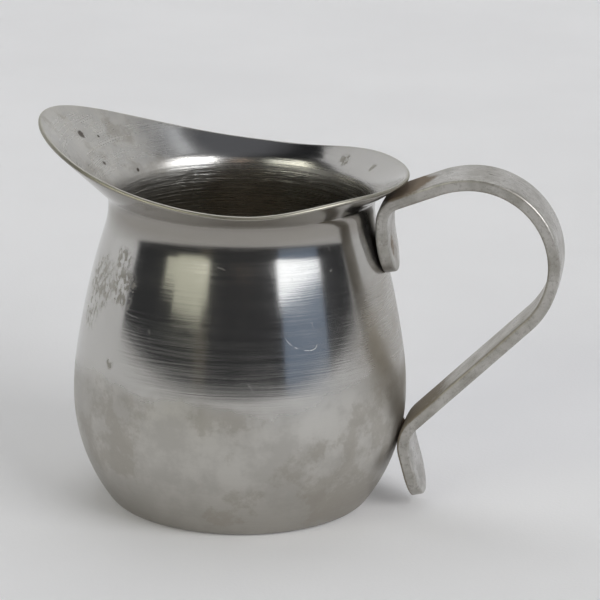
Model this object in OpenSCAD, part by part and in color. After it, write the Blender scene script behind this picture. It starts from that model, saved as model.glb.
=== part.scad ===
// Bell-shaped cream jug: a one-piece drawn metal shell with a flared pouring lip,
// and a bent flat-strap handle held by two spot welds.
// Millimetres, +Z up. The origin is the centre of the base, on the surface that it stands on.
// +X points to the handle and -X to the pouring lip.

/* [Body] */
// Outer radius at the widest point of the belly
belly_r = 31; // [26:0.5:38]
// Height of the widest point of the belly
belly_z = 20.5; // [16:0.5:26]
// Radius of the arc from the base corner up to the widest point
lower_arc_r = 33; // [30:0.5:44]
// How far above the widest point the shoulder's straight line, drawn on, meets the belly's upright
shoulder_knee = 6.6; // [3:0.2:12]
// Radius of the corner between the base and the belly
base_corner_r = 2.4; // [1.2:0.1:3]
// Thickness of the sheet metal
wall = 0.8; // [0.6:0.05:1.1]

/* [Neck and lip] */
// Outer radius at the narrowest point of the neck
neck_r = 24.5; // [21:0.1:28]
// Height of the narrowest point of the neck
neck_z = 56.5; // [46:0.5:68]
// Outer bend radius where the neck turns into the flared lip
neck_bend_r = 3.7; // [2:0.1:6]
// Angle of the flared lip from upright
flare_angle = 44; // [38:0.5:54]
// Height of the lowest point of the rim above the neck
rim_rise = 4.7; // [3.6:0.1:8]
// How far the lowest point of the rim lies from the centre, towards the handle
rim_low_x = 6; // [0:0.5:12]
// Radius of the long arc that the rim is trimmed to, seen from the side
rim_sweep_r = 95; // [80:1:140]

/* [Handle] */
// Width of the strap
strap_w = 11.2; // [10.2:0.2:15]
// Thickness of the strap
strap_t = 2.2; // [1.6:0.1:2.7]
// Corner radius of the two ends of the strap
strap_end_r = 5; // [1:0.5:5]
// How far the lower end of the upper tab lies below the neck
tab_drop = 11.7; // [9:0.1:14.2]
// Length of the flat part of the tab, which lies on the shoulder
tab_flat = 4.8; // [4.5:0.1:6]
// Bend radius of the upper part of the tab, as it leaves the shoulder
tab_curve_r = 23; // [16:1:40]
// Angle that the upper part of the tab turns through
tab_curve_turn = 14.8; // [8:0.2:20]
// Bend radius between the tab and the arm
crook_r = 4; // [3:0.1:6]
// Slope of the arm above level
arm_slope = 22; // [12:1:30]
// Length of the straight arm
arm_len = 8; // [3:0.5:16]
// Bend radius where the arm levels out
crown_r = 17.8; // [12:0.1:26]
// Angle that the levelling bend turns through
crown_turn = 17.8; // [8:0.2:24]
// Bend radius of the bow that carries the strap over and back towards the body
bow_r = 15.2; // [12:0.1:18.5]
// Bend radius of the heel, which touches the belly
heel_r = 6; // [4:0.1:8]
// How far the contact point of the heel lies below the widest point of the belly
heel_drop = 6.3; // [4:0.1:9]
// Slope of the tail below level, as it runs down and out from the heel
tail_slope = 74.5; // [70:0.5:84]
// Length of the straight tail
tail_len = 9.4; // [6:0.1:10.5]

/* [Spot welds] */
// Diameter of each weld nugget
nugget_d = 4.5; // [3:0.1:5]
// Depth of a nugget in the wall of the body
nugget_in_wall = 0.35; // [0.25:0.05:0.45]
// Depth of a nugget in the strap
nugget_in_strap = 0.7; // [0.6:0.05:0.9]
// Clearance between the strap and the body around a nugget
weld_gap = 0.15; // [0.05:0.05:0.3]
// Distance of the upper nugget from the lower end of the tab
nugget_up_tab = 4.8; // [4:0.1:5.5]
// Diameter of the shallow dimple that the electrode leaves on the tab
dimple_d = 5.6; // [4:0.1:7]
// Depth of that dimple
dimple_depth = 0.15; // [0.05:0.05:0.3]

/* [Hidden] */

STEEL = [0.70, 0.70, 0.69];
WELD = [0.48, 0.42, 0.36];
$fn = 180;
// Angle between the points on an arc, and what a cut runs past the metal
ARC_STEP = 3;
SLACK = 1;
// Sides of the rim sweep, which is larger than the jug
SWEEP_SIDES = 720;
// How far above the rim's lowest point the lip is flared before it is trimmed
SPOUT_ROOM = 16;

// ---- Plane geometry, in the side view: x outwards, y up ----

// Points on an arc, from one position angle to another
function arc(centre, radius, from, to) =
    let (steps = ceil(abs(to - from) / ARC_STEP))
    [for (i = [0:steps]) centre + radius * toward(from + (to - from) * i / steps)];

// Unit vector at an angle
function toward(angle) = [cos(angle), sin(angle)];

// List in the opposite order
function reversed(list) = [for (i = [len(list) - 1:-1:0]) list[i]];

// Direction of the straight line that crosses from one circle to the other; a radius of 0 is a point
function crossing_line(from, from_r, to, to_r, side) =
    let (gap = to - from)
    atan2(gap.y, gap.x) + side * asin((from_r + to_r) / norm(gap));

// ---- Side view of the body ----

lower_centre = [belly_r - lower_arc_r, belly_z];
neck_centre = [neck_r + neck_bend_r, neck_z];

// The base corner is tangent to the floor and to the lower arc
corner_rise = belly_z - base_corner_r;
corner_reach = lower_arc_r - base_corner_r;
corner_centre = lower_centre + [sqrt(corner_reach^2 - corner_rise^2), -corner_rise];
corner_angle = -asin(corner_rise / corner_reach);

// The straight shoulder is tangent to the neck bend, and an arc carries the belly over to it
knee = [belly_r, belly_z + shoulder_knee];
shoulder_heading = crossing_line(knee, 0, neck_centre, neck_bend_r, 1);
shoulder_lean = shoulder_heading - 90;
upper_arc_r = shoulder_knee / tan(shoulder_lean / 2);
upper_centre = [belly_r - upper_arc_r, belly_z];
shoulder_out = toward(shoulder_lean);
shoulder_up = toward(shoulder_heading);
shoulder_start = upper_centre + upper_arc_r * shoulder_out;

// The lip is flared past the height of the spout, and the rim sweep trims it
rim_low_z = neck_z + rim_rise;
flare_top_z = rim_low_z + SPOUT_ROOM;
flare_start = neck_centre + neck_bend_r * toward(180 - flare_angle);
flare_len = (flare_top_z - flare_start.y) / cos(flare_angle);

// Outline of the shell at a depth below its outer surface, from the axis up to the lip
function shell_side(depth) = concat(
    [[0, depth]],
    arc(corner_centre, base_corner_r - depth, -90, corner_angle),
    arc(lower_centre, lower_arc_r - depth, corner_angle, 0),
    arc(upper_centre, upper_arc_r - depth, 0, shoulder_lean),
    arc(neck_centre, neck_bend_r + depth, 180 + shoulder_lean, 180 - flare_angle),
    [neck_centre + (neck_bend_r + depth) * toward(180 - flare_angle)
        + flare_len * toward(90 - flare_angle)]
);

// ---- Side view of the strap ----

// The tab starts on the shoulder, clear of it by the weld gap
tab_end_z = neck_z - tab_drop;
tab_foot = shoulder_start + shoulder_up * (tab_end_z - shoulder_start.y) / cos(shoulder_lean);
tab_start = tab_foot + shoulder_out * (weld_gap + strap_t / 2);
tab_top = tab_start + shoulder_up * tab_flat;

// Upper bends: each centre follows from the point where the one before ends
tab_curve_centre = tab_top + tab_curve_r * shoulder_out;
crook_from = 180 + shoulder_lean - tab_curve_turn;
crook_centre = tab_curve_centre + (tab_curve_r - crook_r) * toward(crook_from);
arm_angle = 90 + arm_slope;
crown_centre = crook_centre + arm_len * toward(arm_slope) + (crook_r - crown_r) * toward(arm_angle);
bow_from = arm_angle - crown_turn;
bow_centre = crown_centre + (crown_r - bow_r) * toward(bow_from);

// The heel touches the belly at the lower weld
heel_angle = -asin(heel_drop / lower_arc_r);
heel_touch = lower_centre + lower_arc_r * toward(heel_angle);
heel_centre = heel_touch + (weld_gap + strap_t / 2 + heel_r) * toward(heel_angle);
back_heading = crossing_line(bow_centre, bow_r, heel_centre, heel_r, -1);
tail_start = heel_centre + heel_r * toward(270 - tail_slope);
tail_end = tail_start + tail_len * toward(-tail_slope);

// One face of the strap, offset from its middle line; positive is the outside of the loop
function strap_side(offset) = concat(
    [tab_start - offset * shoulder_out],
    arc(tab_curve_centre, tab_curve_r + offset, 180 + shoulder_lean, crook_from),
    arc(crook_centre, crook_r + offset, crook_from, arm_angle),
    arc(crown_centre, crown_r + offset, arm_angle, bow_from),
    arc(bow_centre, bow_r + offset, bow_from, back_heading + 90),
    arc(heel_centre, heel_r - offset, back_heading + 270, 270 - tail_slope),
    [tail_end + offset * toward(90 - tail_slope)]
);

// ---- Spot welds ----

upper_weld_at = tab_foot + nugget_up_tab * shoulder_up;

// Places a child at a point of the side view, with its z axis along an angle there
module along(point, angle) {
    translate([point.x, 0, point.y])
        rotate([0, 90 - angle, 0])
            children();
}

// A nugget runs from inside the wall, across the gap, into the strap
module nugget() {
    translate([0, 0, -nugget_in_wall])
        cylinder(d = nugget_d, h = nugget_in_wall + weld_gap + nugget_in_strap);
}

module place_upper() {
    along(upper_weld_at, shoulder_lean) children();
}

module place_lower() {
    along(heel_touch, heel_angle) children();
}

// ---- Sub-parts ----

module body_shell() {
    color(STEEL)
        difference() {
            rotate_extrude()
                polygon(concat(shell_side(0), reversed(shell_side(wall))));
            rim_trim();
            place_upper() nugget();
            place_lower() nugget();
        }
}

// Everything above the rim: a long cylinder that lies across the jug
module rim_trim() {
    translate([rim_low_x, 0, rim_low_z + rim_sweep_r])
        rotate([90, 0, 0])
            cylinder(r = rim_sweep_r, h = 2 * (neck_r + flare_len), center = true, $fn = SWEEP_SIDES);
}

module handle_strap() {
    color(STEEL)
        difference() {
            rotate([90, 0, 0])
                linear_extrude(strap_w, center = true)
                    polygon(concat(strap_side(strap_t / 2), reversed(strap_side(-strap_t / 2))));
            along(tab_start, shoulder_heading) end_corners();
            along(tail_end, 180 - tail_slope) end_corners();
            place_upper() nugget();
            place_upper() dimple();
            place_lower() nugget();
        }
}

// What is cut off the two corners of a strap end that lies at z = 0, with the strap above it
module end_corners() {
    for (side = [-1, 1])
        difference() {
            translate([0, side * (strap_w + SLACK) / 2, (strap_end_r - SLACK) / 2])
                cube([strap_t + 2 * SLACK, 2 * strap_end_r + SLACK, strap_end_r + SLACK], center = true);
            translate([0, side * (strap_w / 2 - strap_end_r), strap_end_r])
                rotate([0, 90, 0])
                    cylinder(r = strap_end_r, h = strap_t + 4 * SLACK, center = true);
            translate([0, 0, strap_end_r])
                cube([strap_t + 4 * SLACK, strap_w - 2 * strap_end_r, 2 * (strap_end_r + SLACK)],
                    center = true);
        }
}

module dimple() {
    translate([0, 0, weld_gap + strap_t - dimple_depth])
        cylinder(d = dimple_d, h = dimple_depth + SLACK);
}

module upper_weld() {
    color(WELD) place_upper() nugget();
}

module lower_weld() {
    color(WELD) place_lower() nugget();
}

body_shell();
handle_strap();
upper_weld();
lower_weld();
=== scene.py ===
"""Bell-shaped stainless-steel cream jug: a drawn shell and a bent strap handle, on a pale studio floor.

Metres, +Z up. The origin is the centre of the base, +X points to the handle and -X to the pouring lip.
"""
from math import acos, asin, atan2, ceil, cos, exp, hypot, pi, radians, sin, sqrt, tan

import bpy
from mathutils import Matrix, Vector


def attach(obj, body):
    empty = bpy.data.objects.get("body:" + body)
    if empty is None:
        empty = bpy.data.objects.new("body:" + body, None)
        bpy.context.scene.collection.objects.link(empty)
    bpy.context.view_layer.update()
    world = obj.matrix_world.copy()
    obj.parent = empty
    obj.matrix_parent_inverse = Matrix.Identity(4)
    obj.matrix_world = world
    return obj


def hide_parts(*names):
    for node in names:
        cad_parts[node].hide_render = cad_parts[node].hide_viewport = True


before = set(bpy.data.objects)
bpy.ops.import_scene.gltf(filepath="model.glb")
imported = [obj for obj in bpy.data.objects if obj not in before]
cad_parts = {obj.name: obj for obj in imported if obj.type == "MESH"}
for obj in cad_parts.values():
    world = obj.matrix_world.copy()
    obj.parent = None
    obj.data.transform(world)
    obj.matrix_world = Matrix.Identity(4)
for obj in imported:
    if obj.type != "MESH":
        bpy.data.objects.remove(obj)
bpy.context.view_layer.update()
MM = 0.001
# How many sections the shell is drawn with, all the way round
AROUND = 224

# ---- Body shell, in millimetres ----
BELLY_R = 31.0
BELLY_Z = 20.5
LOWER_ARC_R = 33.0
BASE_CORNER_R = 2.4
WALL = 0.8
NECK_Z = 56.5
NECK_BEND_R = 3.7
# How far the wall leans in towards the axis, in degrees, at heights above the widest point
SHOULDER_LEAN = ((BELLY_Z, 0.0), (29.0, 8.5), (40.0, 12.2), (50.0, 16.8), (52.0, 16.6), (NECK_Z, 0.0))
SHOULDER_STEP = 0.6
BASE_RINGS = (0.0, 5.0, 10.0, 15.0, 19.0, 21.5)
CORNER_STEPS = 6
LOWER_ARC_STEPS = 24

# ---- Lip: where the inner edge of the rim runs ----
LIP_SIDE_REACH = 26.85
LIP_SPOUT_REACH = 37.0
LIP_HANDLE_REACH = 30.3
SPOUT_SHARPNESS = 2.4
HANDLE_SHARPNESS = 4.0
RIM_LOW_X = 6.0
RIM_LOW_Z = 61.25
RIM_SWEEP_R = 94.0
RIM_HANDLE_RISE = 1.8
RIM_HANDLE_RUN = 19.0
EDGE_BULGE = 0.28
BEND_STEPS = 14
FLARE_STEPS = 12
EDGE_STEPS = 8
# Over how many points of a section the wear at the rim fades out
RIM_WEAR_POINTS = 3.2

# ---- Strap handle ----
STRAP_W = 11.2
STRAP_T = 2.2
STRAP_END_R = 5.4
STRAP_EDGE_R = 0.42
STRAP_CROWN = 0.10
TAB_DROP = 11.7
TAB_FLAT = 4.8
TAB_CURVE_R = 23.0
TAB_CURVE_TURN = 14.8
CROOK_R = 4.0
ARM_SLOPE = 22.0
ARM_LEN = 8.0
CROWN_R = 17.8
CROWN_TURN = 17.8
BOW_R = 15.2
HEEL_R = 6.0
HEEL_DROP = 6.3
TAIL_SLOPE = 74.5
TAIL_LEN = 9.4
WELD_GAP = 0.15
NUGGET_UP_TAB = 4.8
NUGGET_R = 2.25
DIMPLE_R = 2.9
DIMPLE_DEPTH = 0.26
DIMPLE_SLOPE = 0.55
# Weld nugget: how far from the shell's face, radius, and how ragged it is there
NUGGET_PROFILE = (
    (-0.34, 1.5, 0.0), (-0.2, 2.1, 0.0), (0.0, NUGGET_R, 0.4), (0.04, 2.42, 1.0), (0.075, 2.5, 1.0),
    (0.11, 2.42, 1.0), (WELD_GAP, NUGGET_R, 0.4), (0.5, 2.0, 0.0), (0.66, 1.3, 0.0),
)
NUGGET_STEPS = 72
FLASH_REACH = 0.11
SHOULDER_LEAN_AT_TAB = 12.64
UPPER_ARC_R = 59.6
STEP_ALONG_END = 0.25
# Stations near each end of the strap, close enough together to draw its rounded end
END_STATIONS = (0.0, 0.015, 0.05, 0.1, 0.17, 0.26, 0.36, 0.48, 0.65, 0.85, 1.1, 1.4, 1.75, 2.15)


def toward(angle):
    """Unit vector in a radial plane, at an angle in degrees above outwards."""
    return Vector((cos(radians(angle)), sin(radians(angle))))


def smooth(value, low, high):
    """Smooth step from 0 at low to 1 at high."""
    t = min(1.0, max(0.0, (value - low) / (high - low)))
    return t * t * (3 - 2 * t)


def add_mesh(name, verts, faces, attributes=()):
    """A smooth-shaded mesh object from millimetre points, with named per-point values."""
    mesh = bpy.data.meshes.new(name)
    mesh.from_pydata([Vector(v) * MM for v in verts], [], faces)
    mesh.validate()
    for key, values in attributes:
        layer = mesh.attributes.new(key, "FLOAT", "POINT")
        layer.data.foreach_set("value", values)
    mesh.polygons.foreach_set("use_smooth", [True] * len(mesh.polygons))
    mesh.update()
    made = bpy.data.objects.new(name, mesh)
    bpy.context.scene.collection.objects.link(made)
    return made


def fan(pole, ring, flip):
    """Triangles that close a ring of points on a point in its middle."""
    faces = []
    for a, b in zip(ring, ring[1:] + ring[:1]):
        faces.append((pole, b, a) if flip else (pole, a, b))
    return faces


# ---- Shell ----

def lean_at(z):
    """Lean of the shoulder wall at a height, eased between the named heights."""
    for (low, a), (high, b) in zip(SHOULDER_LEAN, SHOULDER_LEAN[1:]):
        if z <= high:
            t = (z - low) / (high - low)
            return a + (b - a) * t
    return 0.0


def shell_wall():
    """Outer wall from the base centre up to the neck: (radius, height, heading of travel in degrees)."""
    points = [(r, 0.0, 0.0) for r in BASE_RINGS]
    lower = Vector((BELLY_R - LOWER_ARC_R, BELLY_Z))
    rise = BELLY_Z - BASE_CORNER_R
    reach = LOWER_ARC_R - BASE_CORNER_R
    corner = lower + Vector((sqrt(reach ** 2 - rise ** 2), -rise))
    corner_angle = -asin(rise / reach) * 180 / pi
    for i in range(CORNER_STEPS + 1):
        angle = -90 + (corner_angle + 90) * i / CORNER_STEPS
        points.append((*(corner + BASE_CORNER_R * toward(angle)), angle + 90))
    for i in range(1, LOWER_ARC_STEPS + 1):
        angle = corner_angle * (1 - i / LOWER_ARC_STEPS)
        points.append((*(lower + LOWER_ARC_R * toward(angle)), angle + 90))
    steps = ceil((NECK_Z - BELLY_Z) / SHOULDER_STEP)
    rise = (NECK_Z - BELLY_Z) / steps
    radius = BELLY_R
    for i in range(1, steps + 1):
        z = BELLY_Z + i * rise
        radius -= rise * tan(radians(lean_at(z - rise / 2)))
        points.append((radius, z, 90 + lean_at(z)))
    return points


def rim_inner_edge(phi):
    """Radius and height of the rim's inner edge. phi is 0 at the spout and pi at the handle."""
    c = cos(phi)
    if c > 0:
        radius = LIP_SIDE_REACH + (LIP_SPOUT_REACH - LIP_SIDE_REACH) * c ** SPOUT_SHARPNESS
    else:
        radius = LIP_SIDE_REACH + (LIP_HANDLE_REACH - LIP_SIDE_REACH) * (-c) ** HANDLE_SHARPNESS
    run = -radius * c - RIM_LOW_X
    if run < 0:
        return radius, RIM_LOW_Z + RIM_SWEEP_R - sqrt(RIM_SWEEP_R ** 2 - run ** 2)
    return radius, RIM_LOW_Z + RIM_HANDLE_RISE * smooth(run, 0, RIM_HANDLE_RUN)


def lip_section(phi, neck_r):
    """Inner face of the lip from the neck to the rim, with headings: a bend, then a straight flare."""
    centre = Vector((neck_r + NECK_BEND_R, NECK_Z))
    bend_r = NECK_BEND_R + WALL
    edge = Vector(rim_inner_edge(phi))
    spoke = edge - centre
    touch = atan2(spoke.y, spoke.x) + acos(min(1.0, bend_r / spoke.length))
    touch = touch * 180 / pi
    points = []
    for i in range(1, BEND_STEPS + 1):
        angle = 180 + (touch - 180) * i / BEND_STEPS
        points.append((*(centre + bend_r * toward(angle)), angle - 90))
    start = centre + bend_r * toward(touch)
    for i in range(1, FLARE_STEPS + 1):
        points.append((*start.lerp(edge, i / FLARE_STEPS), touch - 90))
    return points


def offset(point, distance):
    """Moves a section point to its left, which is into the jug on the outer wall."""
    r, z, heading = point
    return Vector((r, z)) + distance * toward(heading + 90)


def shell_section(wall, phi):
    """One radial section of the shell: outer face, rounded rim edge and inner face, as (radius, height)."""
    lip = lip_section(phi, wall[-1][0])
    outer = [offset(p, 0) for p in wall] + [offset(p, -WALL) for p in lip]
    inner = [offset(p, WALL) for p in wall] + [offset(p, 0) for p in lip]
    middle = (outer[-1] + inner[-1]) / 2
    across = (outer[-1] - inner[-1]) / 2
    along = toward(lip[-1][2])
    edge = []
    for k in range(1, EDGE_STEPS):
        turn = pi * k / EDGE_STEPS
        edge.append(middle + across * cos(turn) + along * EDGE_BULGE * sin(turn))
    return outer, edge, inner


def build_shell():
    """The whole shell as one closed mesh, with each point's nearness to the rim and to the inside."""
    wall = shell_wall()
    verts, rim, inside = [], [], []
    for i in range(AROUND):
        phi = 2 * pi * i / AROUND
        outer, edge, inner = shell_section(wall, phi)
        ring = outer[1:] + edge + inner[:0:-1]
        for k, p in enumerate(ring):
            verts.append((-p.x * cos(phi), p.x * sin(phi), p.y))
            from_edge = abs(k - (len(outer) - 1 + len(edge) // 2))
            rim.append(exp(-(from_edge / RIM_WEAR_POINTS) ** 2))
            inside.append(smooth(k, len(outer) - 1, len(outer) + len(edge)))
    loop = len(verts) // AROUND
    faces = []
    for i in range(AROUND):
        here, there = i * loop, (i + 1) % AROUND * loop
        for k in range(loop - 1):
            faces.append((here + k, here + k + 1, there + k + 1, there + k))
    for height, k, flip in ((0.0, 0, False), (WALL, loop - 1, True)):
        pole = len(verts)
        verts.append((0, 0, height))
        rim.append(0.0)
        inside.append(1.0 if flip else 0.0)
        faces += fan(pole, [i * loop + k for i in range(AROUND)], flip)
    return add_mesh("jug_shell", verts, faces, (("rim", rim), ("inside", inside)))


# ---- Strap ----

def arc(centre, radius, start, end, step=2.5):
    """Middle-line points on an arc: (point, heading). Travel is clockwise if the end angle is lower."""
    count = max(2, ceil(abs(end - start) / step))
    turn = -90 if end < start else 90
    points = []
    for i in range(1, count + 1):
        angle = start + (end - start) * i / count
        points.append((centre + radius * toward(angle), angle + turn))
    return points


def straight(start, end, heading, step=0.6):
    count = max(1, ceil((end - start).length / step))
    return [(start.lerp(end, i / count), heading) for i in range(1, count + 1)]


def strap_line():
    """Middle line of the strap from the tab's lower end to the tail's, and the two weld places."""
    lean = SHOULDER_LEAN_AT_TAB
    out, up = toward(lean), toward(90 + lean)
    shoulder = Vector((BELLY_R - UPPER_ARC_R, BELLY_Z)) + UPPER_ARC_R * out
    foot = shoulder + up * (NECK_Z - TAB_DROP - shoulder.y) / cos(radians(lean))
    tab_start = foot + out * (WELD_GAP + STRAP_T / 2)
    tab_top = tab_start + up * TAB_FLAT
    tab_centre = tab_top + TAB_CURVE_R * out
    crook_from = 180 + lean - TAB_CURVE_TURN
    crook_centre = tab_centre + (TAB_CURVE_R - CROOK_R) * toward(crook_from)
    arm_angle = 90 + ARM_SLOPE
    arm_start = crook_centre + CROOK_R * toward(arm_angle)
    arm_end = arm_start + ARM_LEN * toward(ARM_SLOPE)
    crown_centre = arm_end - CROWN_R * toward(arm_angle)
    bow_from = arm_angle - CROWN_TURN
    bow_centre = crown_centre + (CROWN_R - BOW_R) * toward(bow_from)
    heel_angle = -asin(HEEL_DROP / LOWER_ARC_R) * 180 / pi
    heel_touch = Vector((BELLY_R - LOWER_ARC_R, BELLY_Z)) + LOWER_ARC_R * toward(heel_angle)
    heel_centre = heel_touch + (WELD_GAP + STRAP_T / 2 + HEEL_R) * toward(heel_angle)
    gap = heel_centre - bow_centre
    back = (atan2(gap.y, gap.x) - asin((BOW_R + HEEL_R) / gap.length)) * 180 / pi
    back_start = bow_centre + BOW_R * toward(back + 90)
    back_end = heel_centre + HEEL_R * toward(back + 270)
    tail_start = heel_centre + HEEL_R * toward(270 - TAIL_SLOPE)
    line = [(tab_start, 90 + lean)]
    line += straight(tab_start, tab_top, 90 + lean, STEP_ALONG_END)
    line += arc(tab_centre, TAB_CURVE_R, 180 + lean, crook_from, 0.8)
    line += arc(crook_centre, CROOK_R, crook_from, arm_angle)
    line += straight(arm_start, arm_end, ARM_SLOPE)
    line += arc(crown_centre, CROWN_R, arm_angle, bow_from)
    line += arc(bow_centre, BOW_R, bow_from, back + 90)
    line += straight(back_start, back_end, back)
    line += arc(heel_centre, HEEL_R, back + 270, 270 - TAIL_SLOPE)
    tail_end = tail_start + TAIL_LEN * toward(-TAIL_SLOPE)
    line += straight(tail_start, tail_end, -TAIL_SLOPE, STEP_ALONG_END)
    return line, (foot + NUGGET_UP_TAB * up, lean), (heel_touch, heel_angle)


def strap_rings(line):
    """Stations along the strap, packed at both ends: (point, heading, distance to the nearer end)."""
    lengths = [0.0]
    for (a, _), (b, _) in zip(line, line[1:]):
        lengths.append(lengths[-1] + (b - a).length)
    total = lengths[-1]
    first = END_STATIONS[-1] + 0.2
    inner = [s for s in lengths if first < s < total - first]
    stations = list(END_STATIONS) + inner + [total - s for s in reversed(END_STATIONS)]
    rings, k = [], 0
    for s in stations:
        while k < len(lengths) - 2 and lengths[k + 1] < s:
            k += 1
        t = (s - lengths[k]) / (lengths[k + 1] - lengths[k])
        (a, ha), (b, hb) = line[k], line[k + 1]
        turn = (hb - ha + 180) % 360 - 180
        rings.append((a.lerp(b, t), ha + turn * t, min(s, total - s)))
    return rings


def strap_outline(to_end):
    """Half width and half thickness of the strap at a distance from its end."""
    half_w = STRAP_W / 2
    half_t = STRAP_T / 2
    if to_end < STRAP_END_R:
        half_w += sqrt(STRAP_END_R ** 2 - (STRAP_END_R - to_end) ** 2) - STRAP_END_R
    if to_end < STRAP_EDGE_R:
        half_t += sqrt(STRAP_EDGE_R ** 2 - (STRAP_EDGE_R - to_end) ** 2) - STRAP_EDGE_R
    return half_w, half_t


def strap_loop(half_w, half_t, corner):
    """Rounded rectangle: (across, thick, nearness to an edge), anticlockwise from the lower right."""
    points = []
    face = [-1 + 2 * i / 16 for i in range(17)]
    for side in (1, -1):
        for i in range(1, 6):
            points.append((side * half_w, side * (half_t - corner) * (-1 + 2 * i / 6), 0.35))
        for i in range(5):
            turn = radians(90 * i / 5)
            across = half_w - corner + corner * cos(turn)
            thick = half_t - corner + corner * sin(turn)
            points.append((side * across, side * thick, 1.0))
        for f in face:
            crown = STRAP_CROWN * (1 - f * f)
            near = smooth(abs(f), 0.78, 1.0)
            points.append((-side * f * (half_w - corner), side * (half_t + crown), near))
        for i in range(1, 6):
            turn = radians(90 + 90 * i / 5)
            across = -(half_w - corner) + corner * cos(turn)
            thick = half_t - corner + corner * sin(turn)
            points.append((side * across, side * thick, 1.0))
    return points


def build_strap():
    line, upper, lower = strap_line()
    verts, edge, along, across_at, facing = [], [], [], [], []
    rings = strap_rings(line)
    travelled, last = 0.0, rings[0][0]
    for point, heading, to_end in rings:
        travelled += (point - last).length
        last = point
        half_w, half_t = strap_outline(to_end)
        corner = min(STRAP_EDGE_R, half_t * 0.98, half_w * 0.9)
        out = toward(heading + 90)
        for across, thick, near in strap_loop(half_w, half_t, corner):
            place = point + out * thick
            verts.append([place.x, across, place.y])
            edge.append(max(near, 1 - smooth(to_end, 0.2, 1.0)))
            along.append(travelled * MM)
            across_at.append(across * MM)
            facing.append(thick / half_t)
    dent(verts, upper)
    loop = len(verts) // len(rings)
    faces = []
    for k in range(len(rings) - 1):
        for i in range(loop):
            j = (i + 1) % loop
            a, b = k * loop, (k + 1) * loop
            faces.append((a + i, a + j, b + j, b + i))
    faces += cap(0, loop, False)
    faces += cap((len(rings) - 1) * loop, loop, True)
    return add_mesh("strap_handle", verts, faces, (
        ("edge", edge), ("along", along), ("across", across_at), ("facing", facing))), upper, lower


def cap(first, loop, flip):
    """Closes a ring with quads from its lower half to its upper half."""
    half = loop // 2
    faces = []
    low = [first + i for i in range(loop)]
    for i in range(half - 1):
        quad = (low[i], low[(loop - 1 - i) % loop], low[(loop - 2 - i) % loop], low[i + 1])
        if len(set(quad)) == 4:
            faces.append(quad if not flip else quad[::-1])
    return faces


def dent(verts, weld):
    """Presses the round electrode dimple into the outer face of the tab."""
    point, lean = weld
    out, up = toward(lean), toward(90 + lean)
    face = WELD_GAP + STRAP_T
    for v in verts:
        d = Vector((v[0], v[2])) - point
        height = d.dot(out)
        if face - 0.3 < height < face + 0.4:
            away = hypot(v[1], d.dot(up))
            depth = DIMPLE_DEPTH * (1 - smooth(away, DIMPLE_R - DIMPLE_SLOPE, DIMPLE_R))
            depth += STRAP_CROWN * exp(-(away / 3) ** 2)
            v[0] -= out.x * depth
            v[2] -= out.y * depth


# ---- Welds ----

def build_weld(name, weld):
    """A spot-weld nugget with ragged flash squeezed out into the gap between the sheet and the strap."""
    point, angle = weld
    out, up = toward(angle), toward(90 + angle)
    verts = []
    for depth, radius, ragged in NUGGET_PROFILE:
        for i in range(NUGGET_STEPS):
            turn = 2 * pi * i / NUGGET_STEPS
            wave = sin(5 * turn + angle) + 0.6 * sin(11 * turn + 1.3) + 0.4 * sin(23 * turn)
            r = radius + FLASH_REACH * ragged * wave
            place = point + out * depth + up * (r * cos(turn))
            verts.append((place.x, r * sin(turn), place.y))
    rings = []
    for k in range(len(NUGGET_PROFILE)):
        rings.append([k * NUGGET_STEPS + i for i in range(NUGGET_STEPS)])
    faces = []
    for low, high in zip(rings, rings[1:]):
        for i in range(NUGGET_STEPS):
            j = (i + 1) % NUGGET_STEPS
            faces.append((low[i], low[j], high[j], high[i]))
    for k, flip in ((0, True), (-1, False)):
        centre = point + out * NUGGET_PROFILE[k][0]
        faces += fan(len(verts), rings[k], flip)
        verts.append((centre.x, 0, centre.y))
    return add_mesh(name, verts, faces)


# ---- Materials ----

CLEAN_STEEL = (0.56, 0.55, 0.53)
DULL_STEEL = (0.47, 0.455, 0.425)
PALE_HAZE = (0.64, 0.625, 0.59)
GRIME_AND_DARK_REFLECTION = (0.33, 0.30, 0.255)
STRAP_PALE = (0.55, 0.535, 0.51)
STRAP_DULL = (0.42, 0.405, 0.375)
STRAP_DARK = (0.30, 0.285, 0.26)
PIT = (0.10, 0.085, 0.07)
HEAT_BROWN_AND_SHADE = (0.185, 0.14, 0.095)
DEPOSIT_AND_SHADE = (0.30, 0.27, 0.215)
DARK_REFLECTION_AND_TARNISH = (0.13, 0.135, 0.15)
FOOT_SHADE = (0.30, 0.28, 0.25)
STAIN = (0.30, 0.285, 0.24)
WORN_EDGE = (0.34, 0.325, 0.255)
WELD_DARK = (0.16, 0.12, 0.09)
WELD_PALE = (0.34, 0.28, 0.22)
# Water stains on the left flank and in the far flare: x, y, z and radius in millimetres
SHELL_STAINS = (
    (-23, -14, 44, 7), (-24, -13, 38, 5), (-18, -20, 45, 5), (-19, -19, 50, 3.5),
    (-20, -22, 31, 1.6), (16.2, 19.7, 60.3, 1.9), (22.5, 13.5, 60.5, 1.5),
)
# Pock marks in the mouth
MOUTH_POCKS = (
    (-31.3, 5.2, 66.4, 1.15), (-26.6, 3.6, 61.5, 0.6), (-21.7, 10.8, 58.6, 0.5), (-29.0, 9.5, 65.0, 0.4),
)
# Single patches, given in the same way: dull film and painted dark reflection by the handle, brown and
# painted shade in the throat, painted dark reflection and tarnish on the far flare, arm
HANDLE_FILM_AND_REFLECTION = (27, -4, 34, 17.0)
THROAT_BROWN_AND_SHADE = (-4, 24, 51, 9.0)
FAR_FLARE_DARK_REFLECTION = (-0.5, 26.6, 62.0, 6.5)
ARM_BROWN = (30.0, 0, 61.0, 8.0)
# X is squeezed by this much round the painted dark reflection on the far flare, which makes the patch long
DARK_REFLECTION_SQUEEZE = 0.38
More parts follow.
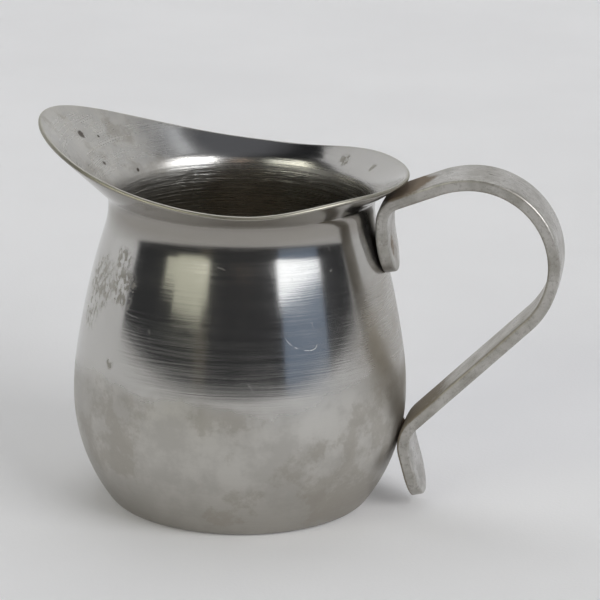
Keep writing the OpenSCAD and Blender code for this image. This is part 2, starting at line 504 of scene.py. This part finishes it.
# Heights in metres: the haze's ragged top, the painted shade at the foot and neck, the deposits and painted
# shade in the throat, tool marks and neck bend
HAZE_TOP = (0.0308, 0.0362)
HAZE_RAGGED = 0.014
FOOT_TOP = 0.016
NECK_SHADE = (0.0515, 0.0565)
DEPOSIT_AND_SHADE_TOP = (0.050, 0.0575)
MARKS_TOP = (0.0555, 0.0585)
BEND_TOP = (0.0575, 0.0605)
# Spread of the milk haze along X in metres
MILK_REACH = (-0.012, 0.0)
# Roughness of the clear shoulder and of the hazed belly, and of the strap where clean and where dull
CLEAR_ROUGH = 0.11
HAZED_ROUGH = 0.36
STRAP_ROUGH = (0.27, 0.40)
WELD_ROUGH = 0.55
FLOOR_ROUGH = 0.85
# A thin film of dust and milk scatters a little light
SHELL_METALLIC = 0.97
STRAP_METALLIC = 0.98
# Reach of the browning round the welds, in millimetres; on the strap's inner face by the lower weld much of
# it is painted shade
SHELL_HEAT_LOWER = 6.5
SHELL_HEAT_UPPER = 7.0
STRAP_HEAT_AND_SHADE_LOWER = 25.0
STRAP_HEAT_UPPER = 5.0


class Graph:
    """Short ways to add shader nodes to one material."""

    def __init__(self, name):
        self.material = bpy.data.materials.new(name)
        self.material.use_nodes = True
        self.tree = self.material.node_tree
        self.shader = self.tree.nodes["Principled BSDF"]

    def node(self, kind, **settings):
        made = self.tree.nodes.new(kind)
        for key, value in settings.items():
            setattr(made, key, value)
        return made

    def feed(self, socket, value):
        if isinstance(value, bpy.types.NodeSocket):
            self.tree.links.new(value, socket)
        else:
            socket.default_value = value

    def math(self, operation, a, b=0.0, clamp=False):
        made = self.node("ShaderNodeMath", operation=operation, use_clamp=clamp)
        self.feed(made.inputs[0], a)
        self.feed(made.inputs[1], b)
        return made.outputs[0]

    def times(self, *values):
        """Product of two or more values."""
        total = values[0]
        for value in values[1:]:
            total = self.math("MULTIPLY", total, value)
        return total

    def plus(self, *values):
        """Sum of two or more values."""
        total = values[0]
        for value in values[1:]:
            total = self.math("ADD", total, value)
        return total

    def most(self, *values):
        """The largest of two or more values."""
        total = values[0]
        for value in values[1:]:
            total = self.math("MAXIMUM", total, value)
        return total

    def place(self):
        return self.node("ShaderNodeTexCoord").outputs["Object"]

    def scaled(self, vector, x, y, z):
        made = self.node("ShaderNodeVectorMath", operation="MULTIPLY")
        self.feed(made.inputs[0], vector)
        made.inputs[1].default_value = (x, y, z)
        return made.outputs[0]

    def noise(self, vector, scale, detail=3.0, rough=0.5):
        made = self.node("ShaderNodeTexNoise")
        self.feed(made.inputs["Vector"], vector)
        made.inputs["Scale"].default_value = scale
        made.inputs["Detail"].default_value = detail
        made.inputs["Roughness"].default_value = rough
        return made.outputs["Fac"]

    def span(self, value, low, high, to_low=0.0, to_high=1.0):
        """Eases a range of a value onto another range, clamped."""
        made = self.node("ShaderNodeMapRange", interpolation_type="SMOOTHSTEP")
        self.feed(made.inputs["Value"], value)
        made.inputs["From Min"].default_value = low
        made.inputs["From Max"].default_value = high
        made.inputs["To Min"].default_value = to_low
        made.inputs["To Max"].default_value = to_high
        return made.outputs[0]

    def blend(self, factor, a, b):
        """Colour a where the factor is 0, and b where it is 1."""
        made = self.node("ShaderNodeMix", data_type="RGBA")
        self.feed(made.inputs[0], factor)
        self.feed(made.inputs[6], (*a, 1.0) if isinstance(a, tuple) else a)
        self.feed(made.inputs[7], (*b, 1.0) if isinstance(b, tuple) else b)
        return made.outputs[2]

    def attribute(self, name):
        return self.node("ShaderNodeAttribute", attribute_name=name).outputs["Fac"]

    def away(self, vector, centre):
        """Distance from a point given in millimetres."""
        made = self.node("ShaderNodeVectorMath", operation="DISTANCE")
        self.feed(made.inputs[0], vector)
        made.inputs[1].default_value = [c * MM for c in centre]
        return made.outputs["Value"]

    def spot(self, vector, place, ragged=0.35, scale=260.0):
        """A ragged-edged patch at a place given as (x, y, z, radius) in millimetres."""
        *centre, radius = place
        reach = radius * MM
        wobble = self.times(self.noise(vector, scale, 5.0, 0.6), reach * ragged * 2)
        return self.span(self.plus(self.away(vector, centre), wobble), reach * 0.8, reach * 1.25, 1.0, 0.0)

    def spots(self, vector, places, ragged=0.35, scale=260.0):
        """Ragged patches at places given as (x, y, z, radius) in millimetres."""
        made = [self.spot(vector, place, ragged, scale) for place in places]
        return self.most(*made)

    def stains(self, vector):
        """Water stains with sharp ragged edges."""
        ragged = self.noise(self.scaled(vector, 1, 1, 0.55), 950, 5.0, 0.7)
        return self.times(self.spots(vector, SHELL_STAINS), self.span(ragged, 0.475, 0.515))

    def heat(self, vector, weld, radius):
        """Heat tint that fades out round a weld."""
        (x, z), _ = weld
        reach = radius * MM
        ragged = self.times(self.noise(vector, 210, 5.0, 0.6), reach * 0.5)
        return self.span(self.plus(self.away(vector, (x, 0, z)), ragged), reach * 0.35, reach, 1.0, 0.0)

    def scratches(self, vector, scale, width):
        """Sparse hairlines, where a noise crosses its middle value."""
        line = self.noise(vector, scale, 0.0, 0.5)
        near = self.math("ABSOLUTE", self.math("SUBTRACT", line, 0.5))
        hair = self.span(near, 0.0, width, 1.0, 0.0)
        sparse = self.span(self.noise(vector, scale * 6.0, 2.0, 0.5), 0.55, 0.60)
        return self.times(hair, sparse)

    def bump(self, height, distance, strength=1.0, normal=None):
        made = self.node("ShaderNodeBump")
        made.inputs["Strength"].default_value = strength
        made.inputs["Distance"].default_value = distance
        self.feed(made.inputs["Height"], height)
        if normal is not None:
            self.feed(made.inputs["Normal"], normal)
        return made.outputs["Normal"]

    def finish(self, color, roughness, normal, metallic=1.0):
        self.feed(self.shader.inputs["Base Color"], color)
        self.feed(self.shader.inputs["Roughness"], roughness)
        self.feed(self.shader.inputs["Normal"], normal)
        self.feed(self.shader.inputs["Metallic"], metallic)
        return self.material


def shell_color(g, at, x, z, masks, upper, lower):
    """Clean steel, layered with patina, grime, stains, milk and deposits, and with painted shade and
    painted dark reflections.
    """
    inside, outside, rim, low, haze, cloud, spout, by_handle, stain = masks
    color = g.blend(low, CLEAN_STEEL, DULL_STEEL)
    color = g.blend(g.times(haze, 0.6), color, PALE_HAZE)
    # Painted shade: the outside darkens towards the base and under the lip
    color = g.blend(g.times(g.span(z, 0.0, FOOT_TOP, 0.6, 0.0), outside), color, FOOT_SHADE)
    color = g.blend(g.times(g.span(z, *NECK_SHADE, 0.0, 0.8), outside), color, FOOT_SHADE)
    grime = g.span(g.noise(at, 62, 8.0, 0.7), 0.52, 0.60)
    color = g.blend(g.times(grime, g.plus(g.times(low, 0.35), 0.08)), color, GRIME_AND_DARK_REFLECTION)
    # Dull film by the handle, partly a painted dark reflection
    color = g.blend(g.times(by_handle, g.span(cloud, 0.35, 0.65, 0.35, 0.75)), color, GRIME_AND_DARK_REFLECTION)
    color = g.blend(g.times(stain, 0.75), color, STAIN)
    milk = g.times(spout, g.span(g.noise(at, 240, 6.0, 0.7), 0.40, 0.62))
    color = g.blend(g.times(milk, 0.7), color, PALE_HAZE)
    dregs = g.span(g.noise(at, 170, 7.0, 0.7), 0.50, 0.64, 0.0, 0.45)
    color = g.blend(g.times(spout, dregs), color, GRIME_AND_DARK_REFLECTION)
    # Deposits and painted shade darken the inside below the neck
    color = g.blend(g.times(inside, g.span(z, *DEPOSIT_AND_SHADE_TOP, 0.7, 0.0)), color, DEPOSIT_AND_SHADE)
    # Brown with painted shade in the middle of the throat
    middle = g.times(inside, g.spot(at, THROAT_BROWN_AND_SHADE, 0.2, 120.0))
    color = g.blend(g.times(middle, 0.4), color, HEAT_BROWN_AND_SHADE)
    # Painted dark reflection, partly tarnish, on the far side of the flare towards its edge
    far_dark_reflection = g.spot(g.scaled(at, DARK_REFLECTION_SQUEEZE, 1, 1), FAR_FLARE_DARK_REFLECTION, 0.12, 150.0)
    color = g.blend(g.times(g.times(inside, far_dark_reflection), 0.62), color, DARK_REFLECTION_AND_TARNISH)
    color = g.blend(g.spots(at, MOUTH_POCKS, 0.3, 900.0), color, PIT)
    tint = g.most(g.heat(at, lower, SHELL_HEAT_LOWER), g.heat(at, upper, SHELL_HEAT_UPPER))
    color = g.blend(g.times(tint, 0.7), color, HEAT_BROWN_AND_SHADE)
    return g.blend(g.times(rim, 0.75), color, WORN_EDGE)


def shell_steel(upper, lower):
    """Polished steel, brushed around: clear on the shoulder, hazed with patina below, stained and worn,
    with painted shade and painted dark reflections.
    """
    g = Graph("drawn_steel")
    at = g.place()
    inside = g.attribute("inside")
    rim = g.attribute("rim")
    parts = g.node("ShaderNodeSeparateXYZ")
    g.feed(parts.inputs[0], at)
    x, z = parts.outputs["X"], parts.outputs["Z"]
    outside = g.math("SUBTRACT", 1.0, inside)
    cloud = g.noise(at, 110, 6.0, 0.62)
    # Haze covers the lower body, up to a ragged edge near the widest point
    ragged_z = g.plus(z, g.times(g.noise(at, 45, 4.0, 0.55), HAZE_RAGGED))
    low = g.times(g.span(ragged_z, *HAZE_TOP, 1.0, 0.0), outside)
    haze = g.times(g.span(cloud, 0.40, 0.60), g.plus(g.times(low, 0.8), 0.2))
    spout = g.times(g.span(g.plus(x, g.times(cloud, 0.02)), *MILK_REACH, 1.0, 0.0), inside)
    by_handle = g.times(g.spot(at, HANDLE_FILM_AND_REFLECTION, 0.25, 60.0), outside)
    stain = g.stains(at)
    masks = (inside, outside, rim, low, haze, cloud, spout, by_handle, stain)
    color = shell_color(g, at, x, z, masks, upper, lower)
    # Brush strokes run round the jug, and the tool marks are deeper inside
    strokes = g.noise(g.scaled(at, 50, 50, 4200), 1.0, 3.0, 0.6)
    marks = g.noise(g.scaled(at, 60, 60, 1500), 1.0, 4.0, 0.65)
    scratch = g.scratches(at, 66.0, 0.0008)
    throat = g.times(inside, g.span(z, *MARKS_TOP, 1.0, 0.0))
    bend = g.times(inside, g.span(z, *BEND_TOP, 1.0, 0.0))
    rough = g.plus(
        g.span(low, 0.0, 1.0, CLEAR_ROUGH, HAZED_ROUGH),
        g.times(g.most(spout, by_handle), 0.15),
        g.times(bend, 0.13),
        g.times(haze, 0.10),
        g.times(g.most(rim, stain), 0.22),
        g.span(strokes, 0.40, 0.65, 0.0, 0.05),
        g.times(scratch, 0.16))
    speckle = g.times(g.noise(at, 900, 4.0, 0.7), g.most(inside, low))
    normal = g.bump(strokes, 0.000013, 0.38)
    normal = g.bump(g.times(marks, g.most(throat, g.times(bend, 0.35))), 0.00022, 1.0, normal)
    normal = g.bump(speckle, 0.00002, 0.5, normal)
    normal = g.bump(scratch, -0.00001, 0.6, normal)
    return g.finish(color, rough, normal, SHELL_METALLIC)


def strap_steel(upper, lower):
    """Tumbled flat stock: fine lines along it, pits, dull edges, browning at the welds, and painted shade
    on the inner face.
    """
    g = Graph("strap_steel")
    at = g.place()
    along, across, facing = g.attribute("along"), g.attribute("across"), g.attribute("facing")
    edge = g.attribute("edge")
    lay = g.node("ShaderNodeCombineXYZ")
    for socket, value in zip(lay.inputs, (along, across, facing)):
        g.feed(socket, value)
    lay = lay.outputs[0]
    cloud = g.noise(at, 190, 6.0, 0.65)
    lines = g.noise(g.scaled(lay, 90, 2600, 3), 1.0, 4.0, 0.6)
    grain = g.noise(at, 1500, 4.0, 0.65)
    color = g.blend(g.span(cloud, 0.40, 0.62), STRAP_PALE, STRAP_DULL)
    color = g.blend(g.span(lines, 0.56, 0.72, 0.0, 0.6), color, STRAP_DARK)
    color = g.blend(g.span(grain, 0.50, 0.68, 0.0, 0.6), color, STRAP_DARK)
    pits = g.span(g.noise(g.scaled(lay, 0.6, 1, 1), 700, 2.0, 0.5), 0.66, 0.70)
    pits = g.times(pits, g.span(g.noise(at, 130, 2.0, 0.5), 0.46, 0.54))
    color = g.blend(g.times(pits, 0.8), color, PIT)
    # Heat tint and painted shade on the inner face near the welds, and brown on top of the arm under the
    # rim
    heat = g.most(g.heat(at, lower, STRAP_HEAT_AND_SHADE_LOWER), g.heat(at, upper, STRAP_HEAT_UPPER))
    heat = g.times(heat, g.span(facing, -0.9, -0.6, 1.0, 0.0))
    arm = g.times(g.spot(at, ARM_BROWN), g.span(facing, 0.5, 0.9))
    heat = g.math("MULTIPLY", g.most(heat, arm), g.span(grain, 0.3, 0.7, 1.0, 2.2), True)
    color = g.blend(heat, color, HEAT_BROWN_AND_SHADE)
    # Painted shade on the strap's inner face, which faces the shell, from about 14 mm past the tab's lower
    # end
    inner_face_shade = g.times(g.span(facing, -0.95, -0.5, 0.55, 0.0), g.span(along, 0.014, 0.020))
    color = g.blend(inner_face_shade, color, DEPOSIT_AND_SHADE)
    color = g.blend(g.times(edge, 0.08), color, WORN_EDGE)
    rough = g.plus(
        g.span(cloud, 0.35, 0.7, *STRAP_ROUGH),
        g.times(edge, 0.12),
        g.times(g.most(pits, heat), 0.4))
    normal = g.bump(lines, 0.00004, 0.7)
    normal = g.bump(grain, 0.00004, 0.7, normal)
    normal = g.bump(pits, -0.00010, 0.8, normal)
    # The oxide left by the welding, and the painted shade on the inner face with it, is not metallic
    metallic = g.math("SUBTRACT", STRAP_METALLIC, g.times(heat, 0.9))
    return g.finish(color, rough, normal, metallic)


def weld_metal():
    """Dull, dark, heat-tinted metal."""
    g = Graph("weld_metal")
    grain = g.noise(g.place(), 1500, 4.0, 0.6)
    return g.finish(g.blend(grain, WELD_DARK, WELD_PALE), WELD_ROUGH, g.bump(grain, 0.00008, 0.6))


def pale_floor():
    """Matt pale sheet with a fine weave, which glows faintly."""
    g = Graph("pale_floor")
    at = g.place()
    cloud = g.noise(at, 14, 3.0, 0.5)
    color = g.blend(g.span(cloud, 0.3, 0.7), FLOOR_TONE, FLOOR_TONE_PALE)
    g.feed(g.shader.inputs["Emission Color"], (*FLOOR_TONE, 1.0))
    g.feed(g.shader.inputs["Emission Strength"], FLOOR_GLOW)
    weave = g.noise(at, 1400, 2.0, 0.5)
    return g.finish(color, FLOOR_ROUGH, g.bump(weave, 0.0002, 0.15), 0.0)


# ---- Stage, lights and camera ----

FLOOR_TONE = (0.69, 0.69, 0.70)
FLOOR_TONE_PALE = (0.72, 0.72, 0.73)
# The floor and backdrop sheets glow faintly, which lightens the shadows on them
FLOOR_GLOW = 0.14
# Floor: its radius, and how far it reaches from the jug towards the camera
FLOOR_R = 1350
FLOOR_STEPS = 96
FLOOR_FRONT = 640
# Backdrop: radius, bend at its foot and height in millimetres, and where it starts right of the camera
COVE_R = 1500
COVE_BEND_R = 300
COVE_TOP = 1880
COVE_FROM = 93
COVE_STEPS = 72
COVE_BEND_STEPS = 12
# The backdrop's foot lies this far above the floor, so that the two sheets don't share a plane
COVE_LIFT = 0.5
# Light panels stand this far off, in metres
PANEL_DISTANCE = 2.4
KEY_RADIANCE = 5.5
# Overhead softbox behind the jug: how far back, how high and how wide in metres
BACK_SOFTBOX_BACK = 0.95
BACK_SOFTBOX_HEIGHT = 2.2
BACK_SOFTBOX_WIDTH = 1.5
BACK_RADIANCE = 1.65
# The middle of the ceiling's light, right of the camera and above level, its spread and its soft edge
CEILING_TURN = 60
CEILING_TILT = 62
CEILING_SPREAD = 40
CEILING_SOFT = 12
ROOM_DARK = (0.020, 0.021, 0.024, 1)
ROOM_CEILING = (0.24, 0.245, 0.26, 1)
VIEW_AZIMUTH = 8.82
VIEW_ELEVATION = 17.13
VIEW_ROLL = 0.82
# Where the centre of the base lies from the camera: right, down and ahead
BASE_FROM_CAMERA = (-0.01147, 0.03597, 0.66031)
LENS = 210.0
SENSOR = 36.0


def build_floor(sheet):
    """A round pale sheet, whose front edge shows in the jug as the end of the light floor."""
    centre = Vector(around_view(180, FLOOR_R - FLOOR_FRONT, 0))
    turns = [2 * pi * i / FLOOR_STEPS for i in range(FLOOR_STEPS)]
    ring = [centre + FLOOR_R * Vector((cos(turn), sin(turn), 0)) for turn in turns]
    floor = add_mesh("floor", ring, [tuple(range(FLOOR_STEPS))])
    floor.data.materials.append(sheet)


def build_backdrop(sheet):
    """A pale sheet that curves up from the floor round the back half of the jug."""
    section = [(COVE_R - COVE_BEND_R, COVE_LIFT)]
    for i in range(1, COVE_BEND_STEPS + 1):
        angle = -90 + 90 * i / COVE_BEND_STEPS
        section.append(Vector((COVE_R - COVE_BEND_R, COVE_BEND_R)) + COVE_BEND_R * toward(angle))
    section.append((COVE_R, COVE_TOP))
    verts, faces = [], []
    for i in range(COVE_STEPS + 1):
        turn = radians(VIEW_AZIMUTH + COVE_FROM + (360 - 2 * COVE_FROM) * i / COVE_STEPS)
        verts += [(r * sin(turn), -r * cos(turn), z) for r, z in section]
    rows = len(section)
    for i in range(COVE_STEPS):
        for k in range(rows - 1):
            a = i * rows + k
            faces.append((a, a + 1, a + rows + 1, a + rows))
    backdrop = add_mesh("backdrop", verts, faces)
    backdrop.data.materials.append(sheet)


def area_light(name, place, target, size, watts, color=(1, 1, 1)):
    """A rectangular light at a place, facing a target."""
    data = bpy.data.lights.new(name, "AREA")
    data.shape = "RECTANGLE"
    data.size, data.size_y = size
    data.energy = watts
    data.color = color
    light = bpy.data.objects.new(name, data)
    light.location = place
    light.rotation_mode = "QUATERNION"
    light.rotation_quaternion = (Vector(target) - Vector(place)).to_track_quat("-Z", "Y")
    bpy.context.scene.collection.objects.link(light)


def around_view(angle, distance, height):
    """A place at an angle right of the line from the jug to the camera."""
    turn = radians(VIEW_AZIMUTH + angle)
    return (distance * sin(turn), -distance * cos(turn), height)


def build_camera():
    """The photograph's camera: a long lens, a little above and a little to the handle's side."""
    a, e, roll = radians(VIEW_AZIMUTH), radians(VIEW_ELEVATION), radians(VIEW_ROLL)
    ahead = Vector((-sin(a) * cos(e), cos(a) * cos(e), -sin(e)))
    right = Vector((cos(a), sin(a), 0))
    down = ahead.cross(right)
    right, down = right * cos(roll) - down * sin(roll), right * sin(roll) + down * cos(roll)
    data = bpy.data.cameras.new("camera")
    data.lens = LENS
    data.sensor_width = SENSOR
    camera = bpy.data.objects.new("camera", data)
    bpy.context.scene.collection.objects.link(camera)
    turn = Matrix((right, -down, -ahead)).transposed()
    x, y, z = BASE_FROM_CAMERA
    camera.matrix_world = Matrix.Translation(-(right * x + down * y + ahead * z)) @ turn.to_4x4()
    bpy.context.scene.camera = camera


def panel(name, left, right, low, high, radiance, color=(1, 1, 1)):
    """An upright light panel that fills a range of angles and heights in degrees, seen from the jug."""
    distance = PANEL_DISTANCE
    base, top = distance * tan(radians(low)), distance * tan(radians(high))
    width = 2 * distance * tan(radians((right - left) / 2))
    middle = around_view((left + right) / 2, distance, (base + top) / 2)
    size = (width, top - base)
    area_light(name, middle, (0, 0, middle[2]), size, radiance * pi * size[0] * size[1], color)


def build_lights():
    """Windows left and right of the camera, small dim panels, and a softbox behind the jug."""
    panel("left_window_foot", -52, -29, 8.5, 11.5, 0.60, (1.0, 1.0, 0.80))
    panel("left_window_low", -62, -25, 11.5, 20, 0.62, (1.0, 1.0, 0.80))
    panel("left_window", -62, -25, 20, 38, KEY_RADIANCE * 0.6, (1.0, 0.99, 0.84))
    panel("right_window_low", 30, 68, 12.5, 22, 1.9, (0.93, 0.96, 1.0))
    panel("right_window", 28, 70, 22, 46, KEY_RADIANCE)
    panel("right_sill", 32, 66, -1, 12.5, 0.30, (0.55, 0.72, 1.0))
    panel("door_post", -32, -23, -1, 8, 0.06, (1.0, 0.85, 0.58))
    panel("warm_lamp", -4, 8, 24, 36, 1.5, (1.0, 0.78, 0.58))
    panel("ceiling_patch", 76, 97, 58, 67, 0.6, (0.88, 0.93, 1.0))
    place = around_view(180, BACK_SOFTBOX_BACK, BACK_SOFTBOX_HEIGHT)
    size = (BACK_SOFTBOX_WIDTH, BACK_SOFTBOX_WIDTH)
    watts = BACK_RADIANCE * pi * BACK_SOFTBOX_WIDTH ** 2
    area_light("back_softbox", place, (0, 0, 0), size, watts, (0.97, 0.98, 1.0))
    bpy.context.scene.world = room_world()


def room_world():
    """A dark room, with a dim ceiling on the camera's side of the jug."""
    world = bpy.data.worlds.new("room")
    world.use_nodes = True
    tree = world.node_tree
    towards = tree.nodes.new("ShaderNodeVectorMath")
    towards.operation = "DOT_PRODUCT"
    towards.inputs[1].default_value = around_view(
        CEILING_TURN, cos(radians(CEILING_TILT)), sin(radians(CEILING_TILT)))
    height = tree.nodes.new("ShaderNodeMapRange")
    height.interpolation_type = "SMOOTHSTEP"
    height.inputs["From Min"].default_value = cos(radians(CEILING_SPREAD + CEILING_SOFT))
    height.inputs["From Max"].default_value = cos(radians(CEILING_SPREAD - CEILING_SOFT))
    tint = tree.nodes.new("ShaderNodeMix")
    tint.data_type = "RGBA"
    tint.inputs[6].default_value = ROOM_DARK
    tint.inputs[7].default_value = ROOM_CEILING
    tree.links.new(tree.nodes.new("ShaderNodeTexCoord").outputs["Generated"], towards.inputs[0])
    tree.links.new(towards.outputs["Value"], height.inputs["Value"])
    tree.links.new(height.outputs[0], tint.inputs[0])
    tree.links.new(tint.outputs[2], tree.nodes["Background"].inputs["Color"])
    return world


def keep(piece, material, node):
    """Gives a piece its material and makes it stand in for a node of the frame."""
    piece.data.materials.append(material)
    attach(piece, "root")
    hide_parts(node)


build_camera()
strap, upper_place, lower_place = build_strap()
shell = build_shell()
keep(shell, shell_steel(upper_place, lower_place), "body_shell")
keep(strap, strap_steel(upper_place, lower_place), "handle_strap")
weld = weld_metal()
for node, place in (("upper_weld", upper_place), ("lower_weld", lower_place)):
    keep(build_weld(node + "_nugget", place), weld, node)
sheet = pale_floor()
build_floor(sheet)
build_backdrop(sheet)
build_lights()
bpy.context.scene.view_settings.view_transform = "Standard"
